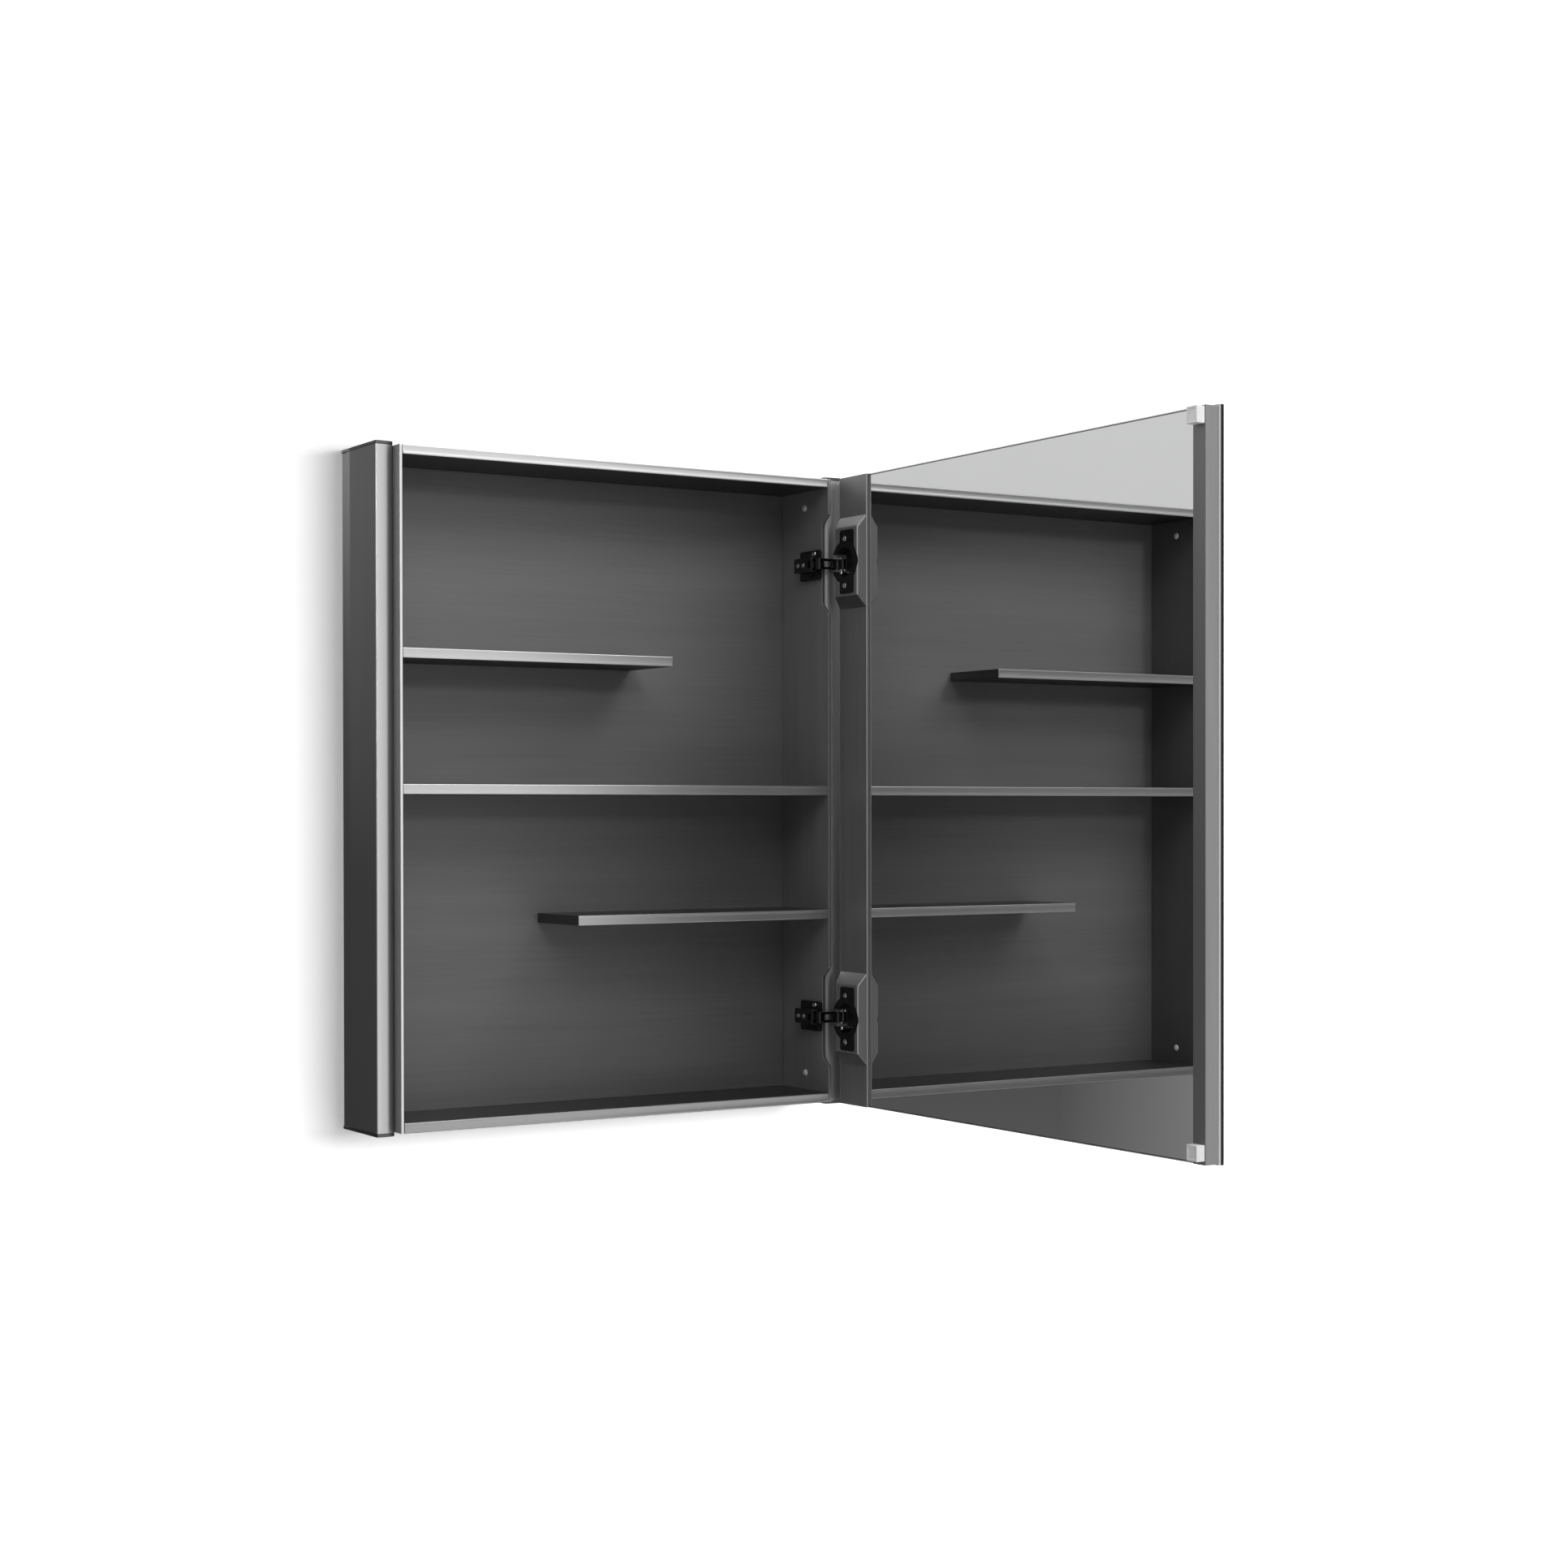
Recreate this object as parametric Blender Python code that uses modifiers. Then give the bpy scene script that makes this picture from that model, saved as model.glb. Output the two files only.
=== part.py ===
# Medicine cabinet with one hinged mirror door, hung on a wall.
# Metres, +Z up, X to the right, the open front faces -Y, the wall is the plane y = 0.
# The origin is the centre of the back face.  The door is modelled open by 90 degrees.
import math
import bpy
import bmesh
from mathutils import Matrix, Vector

# ---- driving dimensions (heights are measured from the lower end caps) ------
HEIGHT = 0.6096            # over the end caps of the side profiles
WIDTH = 0.4978             # over both side profiles
SIDE_W = 0.0185            # width of a side profile, wall sheet not included
WALL_T = 0.0030            # side wall sheet, its front is the raised lip
FLANGE_Y = 0.0720          # depth of the side profiles
LIP_Y = 0.0815             # depth of the body: lip, top and bottom fronts
BODY_Z0, BODY_Z1 = 0.0030, 0.60635
OPEN_Z0, OPEN_Z1 = 0.01217, 0.59788
CAP_T = 0.0030
BACK_T = 0.0030
TUBE_T = 0.0018
STEP_Y, STEP_X = 0.0100, 0.0008
GAP = 0.0003
SHELF_T = 0.0090
SHELF_FRONT = 0.0808
SHELF_Z = {"upper": 0.4199, "middle": 0.3004, "lower": 0.1809}
UPPER_END, LOWER_END = 0.0507, -0.0510
SCREW_X = {"upper": (-0.190, -0.010), "middle": (-0.180, 0.060, 0.190), "lower": (0.010, 0.190)}
PLUG_Y, PLUG_Z = -0.0418, (0.0280, 0.5824)
HINGE_Z = {"upper": 0.5245, "lower": 0.0851}
DOOR_PLANE_X = 0.2445      # inner mirror face with the door open
DOOR_END_Y = -0.0780       # hinge end of the door with the door open
DOOR_L = 0.4978
STRIP_P = 0.0030           # the raised strips stand this far off the inner mirror
HINGE_STRIP = 0.0462
FREE_STRIP = 0.0142
FRAME_P = -0.0112
SHEET_P = (-0.0139, -0.0114)
GLASS_P = (-0.0173, -0.0141)
FRAME_Z0, FRAME_Z1 = 0.0013, 0.6075
GLASS_Z0, GLASS_Z1 = 0.0002, 0.6092
BOSS_P = 0.0123
CUP_S, CUP_R = 0.0220, 0.0155
PIN_X, PIN_Y = 0.2432, -0.0837
MID = HEIGHT / 2.0
WALL_OUT = WIDTH / 2 - SIDE_W
WALL_IN = WALL_OUT - WALL_T

for ob in list(bpy.data.objects):
    bpy.data.objects.remove(ob, do_unlink=True)

scene = bpy.context.scene
parts = bpy.data.collections.new("medicine_cabinet")
tools = bpy.data.collections.new("cutters")
scene.collection.children.link(parts)
scene.collection.children.link(tools)

# the door turns about this empty, which stands on the hinge pins
pivot = bpy.data.objects.new("door_axis", None)
pivot.location = (PIN_X, PIN_Y, 0.0)
parts.objects.link(pivot)

LOOK = {
    "anodised": ((0.115, 0.118, 0.122), 0.85, 0.42),
    "panel": ((0.060, 0.062, 0.065), 0.80, 0.33),
    "shelf": ((0.135, 0.138, 0.142), 0.75, 0.40),
    "mirror": ((0.86, 0.88, 0.88), 1.0, 0.03),
    "sheet": ((0.74, 0.75, 0.75), 0.9, 0.25),
    "core": ((0.32, 0.30, 0.28), 0.0, 0.8),
    "black": ((0.018, 0.018, 0.019), 0.6, 0.38),
    "nickel": ((0.66, 0.65, 0.62), 1.0, 0.22),
    "white": ((0.86, 0.86, 0.85), 0.0, 0.45),
    "zinc": ((0.55, 0.56, 0.58), 1.0, 0.35),
}


def finish(ob, look):
    """Give a piece its own material."""
    colour, metallic, rough = LOOK[look]
    m = bpy.data.materials.new(ob.name + "_" + look)
    m.use_nodes = True
    b = m.node_tree.nodes["Principled BSDF"]
    b.inputs["Base Color"].default_value = (*colour, 1.0)
    b.inputs["Metallic"].default_value = metallic
    b.inputs["Roughness"].default_value = rough
    m.diffuse_color = (*colour, 1.0)
    ob.data.materials.clear()
    ob.data.materials.append(m)
    return ob


def place(name, mesh, location, cutter=False):
    ob = bpy.data.objects.new(name, mesh)
    ob.location = location
    if cutter:
        tools.objects.link(ob)
        ob.hide_render = True
        ob.display_type = 'WIRE'
    else:
        parts.objects.link(ob)
    return ob


def box(name, x, y, z, cutter=False):
    """A block between pairs of x, y and z; z is a height above the lower caps."""
    size = [max(r) - min(r) for r in (x, y, z)]
    bm = bmesh.new()
    bmesh.ops.create_cube(bm, size=1.0, matrix=Matrix.Diagonal((*size, 1.0)))
    me = bpy.data.meshes.new(name)
    bm.to_mesh(me)
    bm.free()
    return place(name, me, (sum(x) / 2, sum(y) / 2, sum(z) / 2 - MID), cutter)


def door_box(name, s, p, z, cutter=False):
    """A block of the open door: s runs from its hinge end, p stands off the inner mirror."""
    return box(name, (DOOR_PLANE_X - p[0], DOOR_PLANE_X - p[1]), (DOOR_END_Y - s[0], DOOR_END_Y - s[1]), z, cutter)


def rod(name, at, axis, radius, length, segments=24, cutter=True):
    bm = bmesh.new()
    bmesh.ops.create_cone(bm, cap_ends=True, cap_tris=False, segments=segments, radius1=radius, radius2=radius, depth=length)
    me = bpy.data.meshes.new(name)
    bm.to_mesh(me)
    bm.free()
    ob = place(name, me, (at[0], at[1], at[2] - MID), cutter)
    ob.rotation_euler = {"X": (0, math.pi / 2, 0), "Y": (math.pi / 2, 0, 0), "Z": (0, 0, 0)}[axis]
    return ob


def prism(name, pts, axis, lo, hi, cutter=False):
    """A flat outline drawn as a filled curve, given length along X or Z, as a mesh."""
    cu = bpy.data.curves.new(name + "_outline", 'CURVE')
    cu.dimensions = '2D'
    cu.fill_mode = 'BOTH'
    cu.extrude = (hi - lo) / 2
    sp = cu.splines.new('POLY')
    sp.points.add(len(pts) - 1)
    for point, (a, b) in zip(sp.points, pts):
        point.co = (a, b, 0.0, 1.0)
    sp.use_cyclic_u = True
    tmp = bpy.data.objects.new(name + "_curve", cu)
    scene.collection.objects.link(tmp)
    bpy.context.view_layer.update()
    me = bpy.data.meshes.new_from_object(tmp.evaluated_get(bpy.context.evaluated_depsgraph_get()))
    bm = bmesh.new()
    bm.from_mesh(me)
    bmesh.ops.remove_doubles(bm, verts=bm.verts, dist=1e-6)
    bmesh.ops.dissolve_limit(bm, angle_limit=math.radians(0.5), verts=bm.verts, edges=bm.edges)
    if axis == "X":            # the outline is given as (y, z)
        bmesh.ops.transform(bm, matrix=Matrix(((0, 0, 1, 0), (1, 0, 0, 0), (0, 1, 0, 0), (0, 0, 0, 1))), verts=bm.verts)
    bmesh.ops.recalc_face_normals(bm, faces=bm.faces)
    bm.to_mesh(me)
    bm.free()
    bpy.data.objects.remove(tmp, do_unlink=True)
    bpy.data.curves.remove(cu)
    return place(name, me, ((lo + hi) / 2, 0, 0) if axis == "X" else (0, 0, (lo + hi) / 2 - MID), cutter)


def turned(names, profile, steps, spots, tilt):
    """Copies of one turned piece: a half profile from its top centre down to its bottom centre."""
    bm = bmesh.new()
    vs = [bm.verts.new((r, 0.0, h)) for r, h in profile]
    for a, b in zip(vs[:-1], vs[1:]):
        bm.edges.new((a, b))
    me = bpy.data.meshes.new(names[0])
    bm.to_mesh(me)
    bm.free()
    made = []
    for name, at in zip(names, spots):
        ob = place(name, me, (at[0], at[1], at[2] - MID))
        ob.rotation_euler = tilt(at)
        s = ob.modifiers.new("turn", 'SCREW')
        s.axis = 'Z'
        s.angle = 2 * math.pi
        s.steps = s.render_steps = steps
        s.use_merge_vertices = True
        s.merge_threshold = 0.00001
        s.use_smooth_shade = True
        made.append(ob)
    return made


def cut(ob, cutter, op='DIFFERENCE'):
    m = ob.modifiers.new(op.lower() + "_" + cutter.name, 'BOOLEAN')
    m.operation = op
    m.solver = 'EXACT'
    m.object = cutter
    return ob


def bevel(ob, width, segments=2, angle=40):
    m = ob.modifiers.new("edge", 'BEVEL')
    m.width = width
    m.segments = segments
    m.limit_method = 'ANGLE'
    m.angle_limit = math.radians(angle)
    return ob


def hang(ob):
    """Hand a piece to the door axis without moving it."""
    ob.parent = pivot
    ob.location = Vector(ob.location) - Vector(pivot.location)
    return ob


# ---- back, walls and their fixings -----------------------------------------
screw_spots = [(x, 0.0, SHELF_Z[k] + SHELF_T / 2, k) for k in SHELF_Z for x in SCREW_X[k]]

back = box("back_panel", (-WALL_OUT, WALL_OUT), (-BACK_T, 0.0), (BODY_Z0, BODY_Z1))
for i, (x, y, z, k) in enumerate(screw_spots):
    cut(back, rod("back_bore_%d" % i, (x, 0.0, z), "Y", 0.0038, 0.0044, 16))
    cut(back, rod("back_hole_%d" % i, (x, -0.003, z), "Y", 0.0021, 0.0060, 12))
finish(back, "anodised")

for side, sg in (("left", -1.0), ("right", 1.0)):
    wall = box(side + "_wall", (sg * WALL_IN, sg * WALL_OUT), (-LIP_Y, -BACK_T - GAP), (BODY_Z0, BODY_Z1))
    for i, z in enumerate(PLUG_Z):
        cut(wall, rod("%s_plug_hole_%d" % (side, i), (sg * (WALL_IN + WALL_T / 2), PLUG_Y, z), "X", 0.0025, 0.010))
    if sg > 0:
        # the lip is cut away where the hinge bosses come in when the door shuts
        for key, hz in HINGE_Z.items():
            f, d, y0, y1 = 0.0480, 0.0385, -0.0708, -LIP_Y - 0.0030
            outline = [(y0, hz - d - MID), (y0, hz + d - MID), (-LIP_Y, hz + f - MID), (y1, hz + f + 0.0026 - MID),
                       (y1, hz - f - 0.0026 - MID), (-LIP_Y, hz - f - MID)]
            cut(wall, prism("hinge_notch_" + key, outline, "X", WALL_IN - 0.004, WALL_OUT + 0.004, True))
    finish(wall, "anodised")

inside = (-WALL_IN + 0.0002, WALL_IN - 0.0002)
finish(bevel(box("top_wall", inside, (-LIP_Y, -BACK_T - GAP), (OPEN_Z1, BODY_Z1)), 0.0004, 1), "anodised")
finish(bevel(box("bottom_wall", inside, (-LIP_Y, -BACK_T - GAP), (BODY_Z0, OPEN_Z0)), 0.0004, 1), "anodised")

# ---- side profiles: hollow, rounded towards the lip, stepped near the wall,
#      with keyholes in the back for hanging; a flat cap closes each end ------
for side, sg in (("left", -1.0), ("right", 1.0)):
    xi, xo, r = WALL_OUT + GAP, WIDTH / 2, 0.0042
    pts = [(xi, 0.0), (xi, -FLANGE_Y + r)]
    for k in range(1, 6):
        a = math.pi * (1.0 + 0.5 * k / 6.0)
        pts.append((xi + r + r * math.cos(a), -FLANGE_Y + r + r * math.sin(a)))
    pts += [(xi + r, -FLANGE_Y), (xo - 0.0005, -FLANGE_Y), (xo, -FLANGE_Y + 0.0005), (xo, -STEP_Y - 0.0005),
            (xo - STEP_X, -STEP_Y), (xo - STEP_X, 0.0)]
    prof = prism(side + "_side_profile", [(sg * x, y) for x, y in pts], "Z", BODY_Z0 + 0.0002, HEIGHT - CAP_T - 0.0002)
    cut(prof, box(side + "_bore", (sg * (xi + TUBE_T), sg * (xo - TUBE_T - STEP_X)), (-FLANGE_Y + TUBE_T + 0.0012, -TUBE_T),
                  (BODY_Z0 - 0.01, HEIGHT + 0.01), True))
    xm = sg * (xi + xo) / 2
    for i, z in enumerate((0.1048, 0.5048)):
        cut(prof, rod("%s_keyhole_%d" % (side, i), (xm, -0.0005, z), "Y", 0.0045, 0.006))
        cut(prof, box("%s_keyslot_%d" % (side, i), (xm - 0.0023, xm + 0.0023), (-0.0035, 0.0025), (z, z + 0.0125), True))
    finish(prof, "panel")
    for end, z0 in (("bottom", 0.0), ("top", HEIGHT - CAP_T)):
        cap = box("%s_%s_cap" % (side, end), (sg * xi, sg * xo), (-FLANGE_Y, 0.0), (z0, z0 + CAP_T))
        finish(bevel(cap, 0.0004, 1), "panel")

# ---- shelves ---------------------------------------------------------------
span = {"upper": (inside[0], UPPER_END), "middle": inside, "lower": (LOWER_END, inside[1])}
for key, z0 in SHELF_Z.items():
    shelf = box("shelf_" + key, span[key], (-SHELF_FRONT, -BACK_T - 0.0002), (z0, z0 + SHELF_T))
    bevel(shelf, 0.0006, 2)
    for i, (x, y, z, k) in enumerate(screw_spots):
        if k == key:
            cut(shelf, rod("shelf_hole_%d" % i, (x, -BACK_T - 0.0055, z), "Y", 0.0021, 0.0150, 12))
    finish(shelf, "shelf")

screw = [(0.0, -0.0002), (0.0033, -0.0002), (0.0033, -0.0007), (0.0018, -0.0020), (0.0018, -0.0136), (0.0, -0.0140)]
for ob in turned(["shelf_screw_%d" % (i + 1) for i in range(len(screw_spots))], screw, 16,
                 [s[:3] for s in screw_spots], lambda at: (-math.pi / 2, 0, 0)):
    finish(ob, "zinc")

# ---- plugs in the side walls: a stem in the hole, a low dome inside ---------
plug = [(0.0, 0.0016), (0.0016, 0.0015), (0.0028, 0.0011), (0.0034, 0.0004), (0.0034, 0.0002), (0.0022, 0.0002), (0.0022, -0.0024), (0.0, -0.0024)]
spots = [(sg * WALL_IN, PLUG_Y, z) for sg in (-1, 1) for z in PLUG_Z]
for ob in turned(["wall_plug_left_low", "wall_plug_left_high", "wall_plug_right_low", "wall_plug_right_high"], plug, 16, spots,
                 lambda at: (0, math.pi / 2 if at[0] < 0 else -math.pi / 2, 0)):
    finish(ob, "white")

# ---- door frame ------------------------------------------------------------
f_r = 0.0030
outline = [(HINGE_STRIP, FRAME_P), (HINGE_STRIP, STRIP_P - 0.0005), (HINGE_STRIP - 0.0005, STRIP_P), (f_r, STRIP_P)]
for k in range(1, 5):
    a = math.pi / 2 + math.pi / 2 * k / 4.0
    outline.append((f_r + f_r * math.cos(a), STRIP_P - f_r + f_r * math.sin(a)))
outline.append((0.0, FRAME_P))
hinge_profile = prism("door_hinge_profile", [(DOOR_PLANE_X - p, DOOR_END_Y - s) for s, p in outline], "Z", FRAME_Z0, FRAME_Z1)

for key, hz in HINGE_Z.items():
    # boss: a block drawn in towards its flat top, grown onto the profile
    boss = door_box("boss_" + key, (0.0010, HINGE_STRIP - 0.0004), (0.0005, BOSS_P), (hz - 0.0472, hz + 0.0472), True)
    for v in boss.data.vertices:
        if v.co.x < 0:
            free = v.co.y < 0
            v.co.y = DOOR_END_Y - (0.0438 if free else 0.0118) - boss.location.y
            v.co.z = math.copysign(0.0330, v.co.z)
    bevel(boss, 0.0010, 2, 25)
    cut(hinge_profile, boss, 'UNION')
for key, hz in HINGE_Z.items():
    at = lambda p, s, dz=0.0: (DOOR_PLANE_X - p, DOOR_END_Y - s, hz + dz)
    cut(hinge_profile, rod("cup_bore_" + key, at(0.0107, CUP_S), "X", CUP_R + GAP, 0.0200, 40))
    cut(hinge_profile, door_box("knuckle_slot_" + key, (-0.004, 0.0098), (-0.0050, 0.0160), (hz - 0.0088, hz + 0.0088), True))
    cut(hinge_profile, door_box("plate_seat_" + key, (0.0150, 0.0384), (0.0110, 0.0160), (hz - 0.0308, hz + 0.0308), True))
    cut(hinge_profile, rod("rim_seat_" + key, at(0.0135, 0.0230), "X", 0.0208, 0.0050, 48))
    for i, dz in enumerate((-0.0225, 0.0225)):
        cut(hinge_profile, rod("cup_screw_bore_%s_%d" % (key, i), at(0.0080, CUP_S, dz), "X", 0.0017, 0.010, 16))
    cut(hinge_profile, rod("pin_bore_" + key, (PIN_X, PIN_Y, hz), "Z", 0.0014, 0.0232, 20))
hang(finish(hinge_profile, "anodised"))

hang(finish(bevel(door_box("door_free_profile", (DOOR_L - FREE_STRIP, DOOR_L), (FRAME_P, STRIP_P), (FRAME_Z0, FRAME_Z1)), 0.0006, 2), "anodised"))
s = (HINGE_STRIP + GAP, DOOR_L - FREE_STRIP - GAP)
hang(finish(door_box("door_top_rail", s, (FRAME_P, 0.0004), (FRAME_Z1 - 0.0009, FRAME_Z1)), "anodised"))
hang(finish(door_box("door_bottom_rail", s, (FRAME_P, 0.0004), (FRAME_Z0, FRAME_Z0 + 0.0009)), "anodised"))
inner = (FRAME_Z0 + 0.0012, FRAME_Z1 - 0.0012)
hang(finish(door_box("door_core", s, (FRAME_P, -0.0033), inner), "core"))
hang(finish(bevel(door_box("inner_mirror", s, (-0.0030, 0.0), inner), 0.0005, 1), "mirror"))
hang(finish(door_box("mirror_backing", (GAP, DOOR_L - GAP), SHEET_P, (GLASS_Z0 + GAP, GLASS_Z1 - GAP)), "sheet"))
hang(finish(bevel(door_box("front_mirror", (0.0, DOOR_L), GLASS_P, (GLASS_Z0, GLASS_Z1)), 0.0006, 2), "mirror"))

# ---- bumpers at the two free corners ---------------------------------------
for end, z in (("top", (0.5925, 0.6063)), ("bottom", (0.0047, 0.0178))):
    b = door_box("bumper_" + end, (DOOR_L - 0.0122, DOOR_L - 0.0005), (STRIP_P + 0.0002, STRIP_P + 0.0090), z)
    hang(finish(bevel(b, 0.0008, 3), "white"))

# ---- hinges ----------------------------------------------------------------
for key, hz in HINGE_Z.items():
    at = lambda p, s, dz=0.0: (DOOR_PLANE_X - p, DOOR_END_Y - s, hz + dz)
    # cup: winged plate with a deep round cup, split on the hinge side for the neck
    cup = door_box("hinge_cup_" + key, (0.0153, 0.0381), (0.0111, 0.0122), (hz - 0.0305, hz + 0.0305))
    corners = cup.modifiers.new("corners", 'BEVEL')
    corners.width = 0.0004
    corners.segments = 1
    cut(cup, rod("cup_rim_" + key, at(0.01165, 0.0230), "X", 0.0205, 0.0011, 48), 'UNION')
    cut(cup, rod("cup_shell_" + key, at(0.00645, CUP_S), "X", CUP_R, 0.0107, 40), 'UNION')
    cut(cup, rod("cup_hollow_" + key, at(0.0120, CUP_S), "X", CUP_R - 0.0013, 0.0200, 40))
    cut(cup, door_box("cup_mouth_" + key, (-0.006, 0.0120), (-0.004, 0.0200), (hz - 0.0083, hz + 0.0083), True))
    for i, dz in enumerate((-0.0225, 0.0225)):
        cut(cup, rod("cup_plate_hole_%s_%d" % (key, i), at(0.0115, CUP_S, dz), "X", 0.0032, 0.0040))
    hang(finish(cup, "black"))

    # mounting plate screwed to the right wall, with the arm body over it
    plate = box("mount_plate_" + key, (WALL_IN - 0.0028, WALL_IN - GAP), (-0.0711, -0.0376), (hz - 0.0145, hz + 0.0145))
    bevel(plate, 0.0007, 2)
    cut(plate, rod("mount_hole_" + key, (WALL_IN - 0.0015, -0.0618, hz + 0.0106), "X", 0.0014, 0.010, 16))
    finish(plate, "black")
    arm = box("hinge_arm_" + key, (0.2152, WALL_IN - 0.0031), (-0.0700, -0.0400), (hz - 0.0072, hz + 0.0072))
    bevel(arm, 0.0016, 3)
    cut(arm, box("arm_pocket_" + key, (0.2168, 0.2226), (-0.0760, -0.0600), (hz - 0.0056, hz + 0.0056), True))
    for i, y in enumerate((-0.0465, -0.0555)):
        cut(arm, rod("arm_seat_%s_%d" % (key, i), (0.2148, y, hz), "X", 0.0026, 0.0024, 20))
    finish(arm, "black")

    # neck: a bent strap from the arm body round to the knuckle on the pin
    pts = [(0.2185, -0.0612), (0.2185, -0.0762), (0.2190, -0.0775), (0.2203, -0.0782), (0.2385, -0.0782), (0.2401, -0.0789), (0.2408, -0.0804)]
    for k in range(0, 13):
        a = math.radians(165 + 230 * k / 12.0)
        pts.append((PIN_X + 0.0027 * math.cos(a), PIN_Y + 0.0027 * math.sin(a)))
    pts += [(0.2446, -0.0795), (0.2437, -0.0775), (0.2420, -0.0762), (0.2400, -0.0758), (0.2214, -0.0758), (0.2209, -0.0753), (0.2209, -0.0612)]
    neck = prism("hinge_neck_" + key, pts, "Z", hz - 0.0053, hz + 0.0053)
    cut(neck, rod("neck_bore_" + key, (PIN_X, PIN_Y, hz), "Z", 0.00128, 0.020, 20))
    cut(neck, box("neck_window_" + key, (0.2245, 0.2345), (-0.0800, -0.0740), (hz - 0.0026, hz + 0.0026), True))
    finish(neck, "nickel")

    to_room = lambda at: (0, -math.pi / 2, 0)
    pin = [(0.0, 0.0112), (0.0012, 0.0112), (0.0012, -0.0112), (0.0, -0.0112)]
    damper = [(0.0, 0.0051), (0.0012, 0.0049), (0.0018, 0.0043), (0.0020, 0.0034), (0.0020, -0.0049), (0.0, -0.0049)]
    head = [(0.0, 0.0006), (0.0020, 0.0006), (0.0027, 0.0002), (0.0029, -0.0002), (0.0029, -0.0008), (0.0, -0.0008)]
    for ob in turned(["hinge_pin_" + key], pin, 20, [(PIN_X, PIN_Y, hz)], lambda at: (0, 0, 0)):
        hang(finish(ob, "nickel"))
    for ob in turned(["hinge_damper_" + key], damper, 16, [at(0.0073, 0.0162, -0.0097)], to_room):
        hang(finish(ob, "nickel"))
    for ob in turned(["cup_screw_%s_1" % key, "cup_screw_%s_2" % key], head, 16, [at(0.0120, CUP_S, -0.0225), at(0.0120, CUP_S, 0.0225)], to_room):
        hang(finish(ob, "nickel"))
    for ob in turned(["mount_screw_" + key], head, 16, [(WALL_IN - 0.0038, -0.0618, hz + 0.0106)], to_room):
        finish(ob, "nickel")
    turn = [(0.0, 0.0005), (0.0020, 0.0005), (0.0024, 0.0001), (0.0024, -0.0006), (0.0, -0.0006)]
    for ob in turned(["arm_screw_%s_1" % key, "arm_screw_%s_2" % key], turn, 16, [(0.2152, -0.0465, hz), (0.2152, -0.0555, hz)], to_room):
        finish(ob, "zinc")
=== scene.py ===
# Medicine cabinet with one hinged mirror door, hung on a wall and open by a right angle.
# Metres, +Z up, the open front faces -Y, the wall is the plane y = 0.
import math
import bpy
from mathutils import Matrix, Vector


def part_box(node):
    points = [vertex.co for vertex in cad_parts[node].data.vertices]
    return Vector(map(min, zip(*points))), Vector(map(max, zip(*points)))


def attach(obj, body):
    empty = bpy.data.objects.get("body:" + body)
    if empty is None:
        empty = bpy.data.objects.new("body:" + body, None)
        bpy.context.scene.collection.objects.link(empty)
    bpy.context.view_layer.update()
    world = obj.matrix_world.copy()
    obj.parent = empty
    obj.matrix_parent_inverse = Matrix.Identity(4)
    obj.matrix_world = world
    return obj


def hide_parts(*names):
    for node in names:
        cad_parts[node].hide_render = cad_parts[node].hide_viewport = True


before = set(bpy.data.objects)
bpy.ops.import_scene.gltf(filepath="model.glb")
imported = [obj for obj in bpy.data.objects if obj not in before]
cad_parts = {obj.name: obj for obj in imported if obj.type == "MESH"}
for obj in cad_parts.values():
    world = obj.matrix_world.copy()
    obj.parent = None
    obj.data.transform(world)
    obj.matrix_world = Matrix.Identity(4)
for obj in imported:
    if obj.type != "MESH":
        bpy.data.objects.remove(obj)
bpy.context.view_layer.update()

# ---- the room ---------------------------------------------------------------
# A plain white wall to hang on, a pale floor well below, a large soft light
# high on the right and weaker ones around it.
WALL_WIDE, WALL_TALL, WALL_BEHIND, WALL_MIDDLE = 9.0, 3.5, 0.0006, 0.3
FLOOR_SIZE, FLOOR_LEVEL = 12.0, -1.45

camera = bpy.data.objects.new("camera", bpy.data.cameras.new("camera"))
bpy.context.scene.collection.objects.link(camera)
camera.location = (-1.14847, -2.00996, -0.02258)
camera.rotation_euler = (math.radians(89.516), math.radians(0.115), math.radians(-30.229))
camera.data.lens = 55.935
camera.data.sensor_width = 36.0
camera.data.shift_x = 0.115
camera.data.shift_y = 0.0326
camera.data.clip_end = 50.0
bpy.context.scene.camera = camera
bpy.context.scene.view_settings.view_transform = "Standard"


def grey(tone):
    return (tone, tone, tone, 1.0)


def shades(tree, value, stops):
    """Greys along a value, given as pairs of a place on it and a tone."""
    ramp = tree.nodes.new("ShaderNodeValToRGB")
    steps = ramp.color_ramp.elements
    for step, (spot, tone) in zip((steps[0], steps[1]), (stops[0], stops[-1])):
        step.position = spot
        step.color = grey(tone)
    for spot, tone in stops[1:-1]:
        steps.new(spot).color = grey(tone)
    tree.links.new(value, ramp.inputs["Fac"])
    return ramp.outputs["Color"]


def stretch(tree, value, low, high, to_low=0.0, to_high=1.0):
    """Turn the range from low to high into another one."""
    span = tree.nodes.new("ShaderNodeMapRange")
    for name, number in (("From Min", low), ("From Max", high), ("To Min", to_low), ("To Max", to_high)):
        span.inputs[name].default_value = number
    tree.links.new(value, span.inputs["Value"])
    return span.outputs["Result"]


def mixed(tree, share, first, second):
    """Two shaders, the second of them by its share."""
    mix = tree.nodes.new("ShaderNodeMixShader")
    for socket, source in zip(mix.inputs, (share, first, second)):
        tree.links.new(source, socket)
    return mix.outputs[0]


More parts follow.
